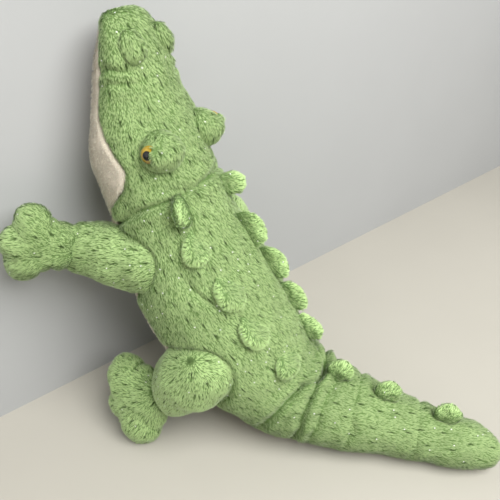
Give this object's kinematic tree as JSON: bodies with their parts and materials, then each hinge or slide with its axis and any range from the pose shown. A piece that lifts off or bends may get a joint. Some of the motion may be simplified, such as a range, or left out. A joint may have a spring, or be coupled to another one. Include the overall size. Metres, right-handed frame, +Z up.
{
  "type": "plush crocodile",
  "caption": "Plush crocodile with its chest raised on its front, long snout, scute flaps along its back and stubby padded limbs.",
  "frame": {"origin": "middle of the footprint box, on the ground it rests on", "axes": "Z up, X to the side of its left arm, Y along its tail; it faces -Y"},
  "size_m": [0.3046, 0.6062, 0.5206],
  "materials": {
    "green_fur": "short green plush pile with small dark pits",
    "flap_fur": "short pale green plush pile",
    "cream_plush": "fine cream nap",
    "amber_eye": "glossy",
    "black_pupil": "glossy",
    "washer_plastic": "plain"
  },
  "bodies": {
    "torso": {"torso": "green_fur", "belly_panel": "cream_plush"},
    "head": {"head": "green_fur", "jaw_panel": "cream_plush", "brow_left": "green_fur", "brow_right": "green_fur", "eye_left": "amber_eye", "eye_right": "amber_eye", "pupil_left": "black_pupil", "pupil_right": "black_pupil", "eye_washer_left": "washer_plastic", "eye_washer_right": "washer_plastic", "nostril_left": "green_fur", "nostril_right": "green_fur"},
    "tail_base": {"tail_base": "green_fur", "tail_base_panel": "cream_plush"},
    "tail_tip": {"tail_tip": "green_fur", "tail_tip_panel": "cream_plush"},
    "neck_flap_left": {"neck_flap_left": "flap_fur"},
    "neck_flap_right": {"neck_flap_right": "flap_fur"},
    "back_flap_left_1": {"back_flap_left_1": "flap_fur"},
    "back_flap_right_1": {"back_flap_right_1": "flap_fur"},
    "back_flap_left_2": {"back_flap_left_2": "flap_fur"},
    "back_flap_right_2": {"back_flap_right_2": "flap_fur"},
    "back_flap_left_3": {"back_flap_left_3": "flap_fur"},
    "back_flap_right_3": {"back_flap_right_3": "flap_fur"},
    "back_flap_left_4": {"back_flap_left_4": "flap_fur"},
    "back_flap_right_4": {"back_flap_right_4": "flap_fur"},
    "tail_flap_1": {"tail_flap_1": "flap_fur"},
    "tail_flap_2": {"tail_flap_2": "flap_fur"},
    "tail_flap_3": {"tail_flap_3": "flap_fur"},
    "arm_left": {"arm_left": "green_fur"},
    "arm_right": {"arm_right": "green_fur"},
    "leg_left": {"leg_left": "green_fur"},
    "leg_right": {"leg_right": "green_fur"},
    "hand_left": {"hand_left": "green_fur"},
    "hand_right": {"hand_right": "green_fur"},
    "foot_left": {"foot_left": "green_fur"},
    "foot_right": {"foot_right": "green_fur"}
  },
  "joints": [
    {"name": "neck_nod", "type": "hinge", "parent": "torso", "child": "head", "pos_m": [0.0049, -0.14638, 0.29735], "axis": [0.9633, -0.2668, 0.03], "range_deg": [-4, 22]},
    {"name": "waist_bend", "type": "hinge", "parent": "torso", "child": "tail_base", "pos_m": [0.03893, 0.02435, 0.06005], "axis": [0.9979, -0.0652, 0], "range_deg": [-20, 20]},
    {"name": "tail_bend", "type": "hinge", "parent": "tail_base", "child": "tail_tip", "pos_m": [0.04246, 0.17947, 0.03468], "axis": [1, 0, 0], "range_deg": [-25, 25]},
    {"name": "shoulder_left", "type": "hinge", "parent": "torso", "child": "arm_left", "pos_m": [0.09478, -0.13573, 0.26417], "axis": [-0.3957, -0.3642, 0.8431], "range_deg": [0, 35]},
    {"name": "wrist_left", "type": "hinge", "parent": "arm_left", "child": "hand_left", "pos_m": [0.07034, -0.26378, 0.27088], "axis": [0.2825, -0.2926, -0.9135], "range_deg": [0, 20]},
    {"name": "shoulder_right", "type": "hinge", "parent": "torso", "child": "arm_right", "pos_m": [-0.04976, -0.07189, 0.26496], "axis": [-0.0718, 0.5486, -0.833], "range_deg": [0, 35]},
    {"name": "wrist_right", "type": "hinge", "parent": "arm_right", "child": "hand_right", "pos_m": [-0.13751, -0.14366, 0.18694], "axis": [0.1545, 0.7128, -0.6841], "range_deg": [0, 20]},
    {"name": "hip_left", "type": "hinge", "parent": "torso", "child": "leg_left", "pos_m": [0.11688, -0.03927, 0.15573], "axis": [-0.0262, -0.6487, 0.7606], "range_deg": [0, 28]},
    {"name": "ankle_left", "type": "hinge", "parent": "leg_left", "child": "foot_left", "pos_m": [0.08473, -0.13111, 0.05801], "axis": [0.47, 0.4462, -0.7616], "range_deg": [0, 20]},
    {"name": "hip_right", "type": "hinge", "parent": "torso", "child": "leg_right", "pos_m": [-0.04909, -0.01638, 0.15576], "axis": [0.0825, 0.4744, -0.8764], "range_deg": [0, 28]},
    {"name": "ankle_right", "type": "hinge", "parent": "leg_right", "child": "foot_right", "pos_m": [-0.02913, -0.10062, 0.05801], "axis": [0.564, -0.3192, 0.7616], "range_deg": [0, 20]},
    {"name": "neck_flap_left_bend", "type": "hinge", "parent": "torso", "child": "neck_flap_left", "pos_m": [0.04974, -0.1046, 0.32573], "axis": [-0.1309, -0.3725, 0.9188], "range_deg": [0, 25], "stiffness_Nm_per_rad": 0.02},
    {"name": "neck_flap_right_bend", "type": "hinge", "parent": "torso", "child": "neck_flap_right", "pos_m": [-0.02975, -0.08988, 0.32038], "axis": [-0.1309, -0.3725, 0.9188], "range_deg": [0, 25], "stiffness_Nm_per_rad": 0.02},
    {"name": "back_flap_left_1_bend", "type": "hinge", "parent": "torso", "child": "back_flap_left_1", "pos_m": [0.06147, -0.08642, 0.28534], "axis": [-0.1491, -0.4097, 0.8999], "range_deg": [0, 25], "stiffness_Nm_per_rad": 0.02},
    {"name": "back_flap_right_1_bend", "type": "hinge", "parent": "torso", "child": "back_flap_right_1", "pos_m": [-0.01426, -0.05765, 0.2736], "axis": [-0.1524, -0.4219, 0.8937], "range_deg": [0, 25], "stiffness_Nm_per_rad": 0.02},
    {"name": "back_flap_left_2_bend", "type": "hinge", "parent": "torso", "child": "back_flap_left_2", "pos_m": [0.0738, -0.05382, 0.23885], "axis": [-0.142, -0.4865, 0.8621], "range_deg": [0, 25], "stiffness_Nm_per_rad": 0.02},
    {"name": "back_flap_right_2_bend", "type": "hinge", "parent": "torso", "child": "back_flap_right_2", "pos_m": [-0.01376, -0.02803, 0.22629], "axis": [-0.136, -0.5036, 0.8531], "range_deg": [0, 25], "stiffness_Nm_per_rad": 0.02},
    {"name": "back_flap_left_3_bend", "type": "hinge", "parent": "torso", "child": "back_flap_left_3", "pos_m": [0.07692, -0.01957, 0.1919], "axis": [-0.1106, -0.5594, 0.8215], "range_deg": [0, 25], "stiffness_Nm_per_rad": 0.02},
    {"name": "back_flap_right_3_bend", "type": "hinge", "parent": "torso", "child": "back_flap_right_3", "pos_m": [-0.0122, -0.00053, 0.1775], "axis": [-0.1015, -0.5746, 0.8121], "range_deg": [0, 25], "stiffness_Nm_per_rad": 0.02},
    {"name": "back_flap_left_4_bend", "type": "hinge", "parent": "torso", "child": "back_flap_left_4", "pos_m": [0.07197, 0.01525, 0.14549], "axis": [-0.0776, -0.6619, 0.7456], "range_deg": [0, 25], "stiffness_Nm_per_rad": 0.02},
    {"name": "back_flap_right_4_bend", "type": "hinge", "parent": "torso", "child": "back_flap_right_4", "pos_m": [-0.0053, 0.0245, 0.1336], "axis": [-0.075, -0.7102, 0.7], "range_deg": [0, 25], "stiffness_Nm_per_rad": 0.02},
    {"name": "tail_flap_1_bend", "type": "hinge", "parent": "tail_base", "child": "tail_flap_1", "pos_m": [0.03414, 0.08229, 0.09859], "axis": [-0.0353, -0.9868, 0.1581], "range_deg": [0, 25], "stiffness_Nm_per_rad": 0.02},
    {"name": "tail_flap_2_bend", "type": "hinge", "parent": "tail_base", "child": "tail_flap_2", "pos_m": [0.0349, 0.14521, 0.07982], "axis": [-0.0004, -0.9923, 0.1241], "range_deg": [0, 25], "stiffness_Nm_per_rad": 0.02},
    {"name": "tail_flap_3_bend", "type": "hinge", "parent": "tail_tip", "child": "tail_flap_3", "pos_m": [0.03489, 0.2224, 0.06267], "axis": [0, -0.9956, 0.0934], "range_deg": [0, 25], "stiffness_Nm_per_rad": 0.02}
  ]
}
